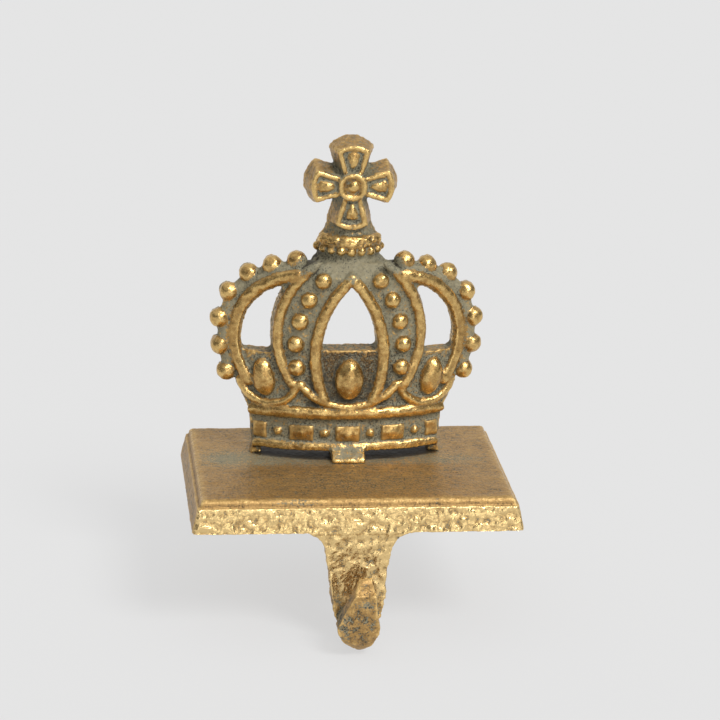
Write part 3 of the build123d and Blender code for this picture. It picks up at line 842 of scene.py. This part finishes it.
class HOLDER_OT_crown(bpy.types.Operator):
    """Cast crown with round beads and gems, gilded"""

    bl_idname = "holder.crown"
    bl_label = "Crown"

    def execute(self, context):
        holder = context.scene.stocking_holder
        casting, sizes = holder.casting, holder.crown
        rounds = bead_forms(sizes) + gem_forms(sizes) + cross_forms(sizes) + rope_forms(sizes, holder.ropes)
        piece = cast_skin("crown_casting", "crown", casting.crown_voxel, rounds)
        ground, crust, film, wash, slot, sooty, dented = self.zones(holder, piece.data)
        heights = vertex_places(piece.data)[:, 2]
        weigh(piece, "ground", LEAST_SAND + (1 - LEAST_SAND) * ground)
        weigh(piece, "crust", crust)
        weigh(piece, "dented", dented)
        weigh(piece, "soft", metre_ramp(heights, 107, 110) + metre_ramp(heights, 17.5, 15.5))
        soften(piece, casting.crown_smoothing)
        soften(piece, casting.soft_smoothing, "soft")
        lumps = casting.lump_size, casting.lump_height
        roughen(piece, "Crown Lumps", *lumps, noise_depth=2)
        roughen(piece, "Crown Dents", *lumps, "dented", CROWN_DENTS, noise_depth=1)
        roughen(piece, "Crown Sand", casting.sand_size, casting.sand_height, "ground", noise_depth=1)
        roughen(piece, "Collar Crust", casting.sand_size, casting.crust_height, "crust", COLLAR_CRUST, noise_depth=1)
        settle(piece)
        # Painted slot shade and soot sink the relief, so that they come out dark
        relief = relief_of(piece, casting.relief_smoothing) - SLOT_SINK * slot - SOOT_SINK * sooty
        store(piece, relief=relief, film=film - slot - SOOT_THINNING * sooty, rub=np.zeros(len(film)), wash=wash)
        thin_out(piece, casting.face_limit)
        material = gilded("crown_gold", holder.finish, grain=1100.0, dents=0.35, bump=0.55)
        dress(piece, "crown", material)
        return {"FINISHED"}

    def zones(self, holder, mesh):
        """Shares of ground, crust, film, wash, painted slot shade, soot and dents over the casting, by limits in
        millimetres.
        """
        sizes, arch = holder.crown, holder.ropes.arch
        places, normals = vertex_places(mesh), vertex_normals(mesh)
        x, y, z = (places / MM).T
        facing = ramp(-normals[:, 1], *FACE_TURN)
        back = ramp(normals[:, 1], *FACE_TURN)

        # Ground between the raised forms, their flanks, which take painted shade, and the crust over the collar
        axis = (sizes.bow_front + sizes.bow_radius) / MM
        proud = np.hypot(x, y - axis) - sizes.bow_radius / MM
        ground = ramp(proud, 0.75, 0.2)
        # Flanks of the raised forms, where the brown wash is painted shade
        flank = ramp(proud, 1.6, 0.7) * (1 - ground)
        between = between_beads(sizes, places)
        ground *= between
        neck_reach = np.hypot(x, y - sizes.back / MM)
        ground = np.where(within(z, 95.2, 95.8, 99.4, 100.0) > 0.5, ramp(neck_reach, 13.6, 13.1), ground)
        crust = within(z, 99.6, 100.4, 102.5, 105.0)
        tab = ramp(z, 18.2, 17.4) * ramp(y, 3.2, 2.0)

        # Film on the ground, the neck, the rim and the web
        neck = within(z, 83.0, 86.0, 95.0, 96.0) * ramp(np.abs(x), 20.0, 14.0)
        out = np.hypot(np.abs(x) - arch[0] / MM, z - arch[1] / MM) - (arch[2] + arch[3]) / MM
        web = ramp(out, 0.0, 0.8) * within(z, 42.0, 45.0, 94.0, 95.0)
        rim = within(z, 16.8, 18.2, 19.5, 20.5)
        film = 0.2 + 0.33 * ground - 0.25 * crust + 0.42 * tab + 0.3 * neck * ground + 0.2 * rim
        film = film + 0.5 * web * between

        # Cross, with film on its face and near the middle of its sides
        cross = ramp(z, 106.5, 108.5)
        front = sizes.cross_front / MM
        face = facing * ramp(y, front - 0.8, front - 0.3)
        reach = np.hypot(x, z - sizes.cross_z / MM)
        sides = (1 - facing) * (0.18 + 0.34 * ramp(reach, 14.0, 8.0))
        film = film * (1 - cross) + cross * (0.1 + 0.52 * face + sides)
        ground = ground * (1 - cross) + cross * (0.5 * face + 0.5 * (1 - facing))

        # Wash in the panels, on the band, the skirt and the cross, and painted shade as brown wash on the flanks of
        # ropes and beads
        panel = within(z, 33.0, 35.0, 57.5, 59.5)
        panel_wash = panel * (0.35 + 0.3 * ramp(np.abs(x), 19.0, 16.0))
        band_wash = 0.3 * within(z, 18.5, 20.0, 29.0, 30.0)
        wash = 0.35 * cross * (1 - facing) + 0.2 * within(z, 102.0, 104.0, 108.0, 109.5) + 0.5 * cross * face
        wash += ground * (1 - cross) * np.maximum(panel_wash, band_wash) + 0.55 * flank * (1 - cross)
        film = film * (1 - back) + 0.26 * back
        wash = wash * (1 - back) + 0.5 * back

        # Painted shade in the slot under the crown's rim, grey-green film that dulls the strap ends and the same
        # darkening there, and soot round the middle gem and on the neck
        slot = ramp(-normals[:, 2], 0.4, 0.8) * ramp(z, 17.5, 16.5)
        joint = patch(np.abs(x), z, (16.5, 93.5), (5, 4)) * (1 - back)
        film += 1.15 * joint
        slot += 0.75 * joint
        core = ramp(np.abs(x), 18.0, 15.0) * within(z, 33.5, 36.0, 57.0, 58.5)
        beside = 0.3 * panel * (1 - core)
        sooty = np.clip(core + beside + patch(x, z, (-15, 93), (7, 4.5)), 0, 1) * ground * (1 - cross) * (1 - back)
        return ground, np.maximum(crust, 0.35 * tab), film, wash, slot, sooty, beside_gems(sizes, x, z)


class HOLDER_OT_base(bpy.types.Operator):
    """Cast plate and hook, smooth on top and creased on the edge and the hook"""

    bl_idname = "holder.base"
    bl_label = "Plate and Hook"

    def execute(self, context):
        holder = context.scene.stocking_holder
        casting = holder.casting
        piece = cast_skin("base_casting", "base_and_hook", casting.base_voxel)
        self.ease_bend(piece)
        places, normals = vertex_places(piece.data), vertex_normals(piece.data)
        rough, film, rub, wash, slot = self.zones(holder.crown, places, normals)
        weigh(piece, "rough", rough)
        weigh(piece, "stem", metre_ramp(-places[:, 2], 0, 3) * metre_ramp(places[:, 1], -56, -52))
        weigh(piece, "dust", metre_ramp(places[:, 2], 10, 12))
        soften(piece, casting.base_smoothing)
        foil = casting.foil_size, casting.foil_height
        roughen(piece, "Base Lumps", casting.lump_size, casting.lump_height, "", BASE_LUMPS, noise_depth=2)
        roughen(piece, "Plate Dust", casting.sand_size, casting.sand_height, "dust", PLATE_DUST, noise_depth=2)
        roughen(piece, "Stem Creases", *foil, "stem", STEM_CREASES, noise_depth=1)
        roughen(piece, "Foil Waves", *foil, "rough", FOIL_WAVES, noise_depth=0)
        roughen(piece, "Foil Creases", *foil, "rough", FOIL_CREASES, noise_depth=1, noise_type="HARD_NOISE")
        settle(piece)
        # Painted slot shade sinks the relief, so that it comes out dark
        relief = relief_of(piece, casting.relief_smoothing) - SLOT_SINK * slot
        store(piece, relief=relief, film=film - slot, rub=rub, wash=wash)
        thin_out(piece, casting.face_limit)
        material = gilded("base_gold", holder.finish, grain=800.0, dents=0.5, bump=0.9)
        dress(piece, "base_and_hook", material)
        return {"FINISHED"}

    def ease_bend(self, piece):
        """Fills the hook's bend on the right, draws in its underside on the left, and shifts and slims its nose."""
        places = vertex_places(piece.data) / MM
        x, y, z = places.T
        low = ramp(z, -18.0, -28.0)
        nose = low * ramp(y, -50.0, -56.0)
        bend = low * ramp(y, -56.0, -50.0)
        under = ramp(z, -36.0, -46.0) * ramp(x, 3.0, -5.0)
        right, left = BEND_WIDENING
        places[:, 0] += bend * (right * np.maximum(x, 0) + left * np.minimum(x, 0)) + UNDER_MOVE * under
        places[:, 0] -= nose * (NOSE_MOVE + NOSE_SLIMMING * np.maximum(x, 0))
        piece.data.vertices.foreach_set("co", (places * MM).ravel())
        piece.data.update()

    def zones(self, sizes, places, normals):
        """Shares of creasing, film, bright foil with painted sheen, wash and painted slot shade over the casting, by
        limits in millimetres.
        """
        x, y, z = (places / MM).T
        front = ramp(-normals[:, 1], 0.35, 0.8)
        side = 1 - ramp(np.abs(normals[:, 2]), *FACE_TURN)
        top = ramp(z, 12.0, 12.5)
        hook = ramp(-z, 0.2, 1.5)
        tip = hook * ramp(-y, 52.0, 56.0)
        rough = np.maximum(hook * (0.95 - 0.4 * tip), side * ramp(z, 10.0, 9.0) * (0.35 + 0.65 * front))

        # Bright foil on the front edge and the stem, as rubbed gilding and painted highlight: only faces turned to
        # the front take it, and on the stem it fades toward the bend as painted shade
        edge = 0.92 * front * (1 - hook) * (1 - 0.8 * ramp(z, 9.0, 10.0))
        stem = hook * (1 - tip) * front * ramp(z, -36.0, -22.0)
        roll = within(z, 9.8, 10.6, 12.4, 12.8) * ramp(-y, 36.0, 40.0)
        smudge = roll * np.exp(-(((x + 24) / 11) ** 2))
        rub = np.maximum(np.maximum(edge, stem), 0.05 * roll * (1 - smudge))

        # Film at the crown's feet, inside the hook and on its tip, and painted shade as film on the tip's left cheek
        before = ramp(np.abs(x), 44.0, 34.0) * ramp(y, -8.0, -1.0)
        feet = patch(x, y, (-48, 4), (12, 9)) + 0.55 * patch(x, y, (46, 2), (9, 6))
        foot = top * np.clip(feet + 0.6 * before, 0, 1)
        groove = within(z, 9.2, 9.6, 10.1, 10.8)
        # Inside the hook: grey-green film, and painted shade that darkens the lower stem
        inside = hook * ramp(z, -20.0, -34.0) * (1 - tip)
        brow = front * within(z, 9.6, 10.4, 12.2, 12.6)
        ledge = tip * patch(x, z, (1, -22.3), (3.2, 1.8))
        # Painted shade on the left cheek of the hook's tip
        cheek = tip * ramp(x, -4.0, -6.5) * ramp(z, -22.0, -28.0)
        film = 0.14 + 0.25 * cheek + 0.52 * foot - 0.6 * groove + 0.28 * inside
        film = film - 0.1 * brow + 0.35 * smudge + 0.4 * ledge

        # Wash on the plate, its ends and step, and the hook's end; the wash on the tip's left cheek is painted shade,
        # and inside the hook it is film and painted shade darkening the lower stem
        ends = (1 - front) * ramp(z, 12.0, 11.5) * (1 - hook)
        wash = top * (0.46 + 0.4 * patch(x, y, (0, -24), (34, 15))) * (1 - 0.6 * foot) + 0.5 * (inside + ends)
        wash = wash + 0.6 * tip + 0.65 * brow + 0.2 * groove + 0.4 * cheek

        # Painted shade in the slot under the crown: the plate there is sunk and darkened
        radius, axis = sizes.bow_radius / MM, (sizes.bow_front + sizes.bow_radius) / MM
        bow = axis - np.sqrt(radius**2 - np.minimum(np.abs(x), 60) ** 2)
        slot = top * ramp(np.abs(x), 39.0, 36.0)
        slot = slot * ramp(y - bow, -4.0, -1.2) * ramp(y, 24.0, 21.0)
        return rough, film, rub, np.clip(wash, 0, 1), slot - 0.25 * groove


class HOLDER_OT_screw(bpy.types.Operator):
    """Zinc finish on the screw under the plate"""

    bl_idname = "holder.screw"
    bl_label = "Fixing Screw"

    def execute(self, context):
        finish = context.scene.stocking_holder.finish
        material, tree = new_material("screw_steel")
        point = tree.add("ShaderNodeTexCoord").outputs["Object"]
        skin = tree.group(shared_groups()["grain"], Point=point, Grain=1400.0, Dents=0.1)
        dull = [PIT_BRIGHTNESS * part for part in finish.zinc]
        look = {
            "Base Color": tree.mix(skin.outputs["Pits"], rgba(finish.zinc), rgba(dull)),
            "Roughness": tree.blend(skin.outputs["Height"], *ZINC_ROUGHNESS),
            "Metallic": 1.0,
        }
        tree.surface(tree.node("ShaderNodeBsdfPrincipled", look, "BSDF"))
        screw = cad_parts["fixing_screw"]
        screw.data.materials.clear()
        screw.data.materials.append(material)
        return {"FINISHED"}


def way_to(turn, rise):
    """Direction at a turn from the front to the right and a height."""
    return Vector((math.sin(turn) * math.cos(rise), -math.cos(turn) * math.cos(rise), math.sin(rise)))


class HOLDER_OT_stage(bpy.types.Operator):
    """Pale floor, soft light and the camera"""

    bl_idname = "holder.stage"
    bl_label = "Stage"

    def execute(self, context):
        look = context.scene.stocking_holder.stage
        self.lay_floor(look)
        self.light_room(context, look)
        self.place_camera(context, look)
        context.scene.view_settings.view_transform = "Standard"
        return {"FINISHED"}

    def lay_floor(self, look):
        half, level = look.floor_size / 2, cad_box[0][2]
        mesh = bpy.data.meshes.new("floor")
        corners = [(-half, -half, level), (half, -half, level), (half, half, level), (-half, half, level)]
        mesh.from_pydata(corners, [], [(0, 1, 2, 3)])
        floor = new_object("floor", mesh)
        material, tree = new_material("floor_paper")
        tint = {"Color": rgba(look.floor_colour)}
        paper = tree.node("ShaderNodeBsdfDiffuse", tint, "BSDF")
        glow = tree.node("ShaderNodeEmission", tint, "Emission")
        path = tree.add("ShaderNodeLightPath").outputs
        seen = tree.plus(path["Is Camera Ray"], path["Is Glossy Ray"])
        seen = tree.math("ADD", seen, path["Is Transmission Ray"], clamp=True)
        mixed = {"Fac": tree.times(seen, look.floor_glow), 1: paper, 2: glow}
        tree.surface(tree.node("ShaderNodeMixShader", mixed, "Shader"))
        mesh.materials.append(material)

    def light_room(self, context, look):
        world = bpy.data.worlds.new("room")
        world.use_nodes = True
        context.scene.world = world
        world.node_tree.nodes.clear()
        tree = Nodes(world.node_tree)
        way = tree.add("ShaderNodeTexCoord").outputs["Generated"]
        split = tree.add("ShaderNodeSeparateXYZ")
        tree.link(way, split.inputs[0])
        behind = tree.ramp(split.outputs["Y"], 0.2, 0.95)
        above = tree.ramp(split.outputs["Z"], 0.3, 0.95)
        share = tree.math("MAXIMUM", behind, above)
        middle = Vector(look.front_way).normalized()
        toward = tree.node("ShaderNodeVectorMath", {0: way, 1: middle}, "Value", operation="DOT_PRODUCT")
        front = tree.times(tree.ramp(toward, 0.88, 0.99), look.front_strength)
        strength = tree.plus(tree.blend(share, look.room_front, look.room_back), front)
        seen = tree.add("ShaderNodeLightPath").outputs["Is Camera Ray"]
        light = {"Color": (1.0, 1.0, 1.0, 1.0), "Strength": tree.blend(seen, strength, look.floor_colour[0])}
        tree.surface(tree.node("ShaderNodeBackground", light, "Background"), "ShaderNodeOutputWorld")
        key = bpy.data.lights.new("key_light", "SUN")
        key.energy = look.key_strength
        key.angle = look.key_angle
        lamp = new_object("key_light", key)
        away = way_to(look.key_azimuth, look.key_elevation)
        lamp.rotation_euler = away.to_track_quat("Z", "Y").to_euler()

    def place_camera(self, context, look):
        turn = look.camera_azimuth
        back = way_to(turn, look.camera_elevation)
        right = Vector((math.cos(turn), math.sin(turn), 0))
        up = back.cross(right)
        lean, stand = math.sin(look.camera_roll), math.cos(look.camera_roll)
        leaning_right = stand * right + lean * up
        leaning_up = stand * up - lean * right
        data = bpy.data.cameras.new("camera")
        data.lens = look.lens
        data.sensor_width = SENSOR_WIDTH
        data.shift_x, data.shift_y = look.shift
        camera = new_object("camera", data)
        rows = Matrix((leaning_right, leaning_up, back)).transposed().to_4x4()
        camera.matrix_world = Matrix.Translation(Vector(look.camera_aim) + look.camera_distance * back) @ rows
        context.scene.camera = camera


class HOLDER_PT_sidebar(bpy.types.Panel):
    """Steps that build the stocking holder"""

    bl_label = "Stocking Holder"
    bl_idname = "HOLDER_PT_sidebar"
    bl_space_type = "VIEW_3D"
    bl_region_type = "UI"
    bl_category = "Stocking Holder"

    def draw(self, context):
        for step in STEPS:
            self.layout.operator(step.bl_idname)


STEPS = (HOLDER_OT_base, HOLDER_OT_crown, HOLDER_OT_screw, HOLDER_OT_stage)
CLASSES = (CastingSizes, CrownSizes, RopeSizes, FinishColours, StageLook, StockingHolder, *STEPS, HOLDER_PT_sidebar)


def register():
    for kind in CLASSES:
        bpy.utils.register_class(kind)
    bpy.types.Scene.stocking_holder = PointerProperty(type=StockingHolder)


def unregister():
    del bpy.types.Scene.stocking_holder
    for kind in reversed(CLASSES):
        bpy.utils.unregister_class(kind)


def main():
    register()
    bpy.ops.holder.base()
    bpy.ops.holder.crown()
    bpy.ops.holder.screw()
    bpy.ops.holder.stage()


if __name__ == "__main__":
    main()
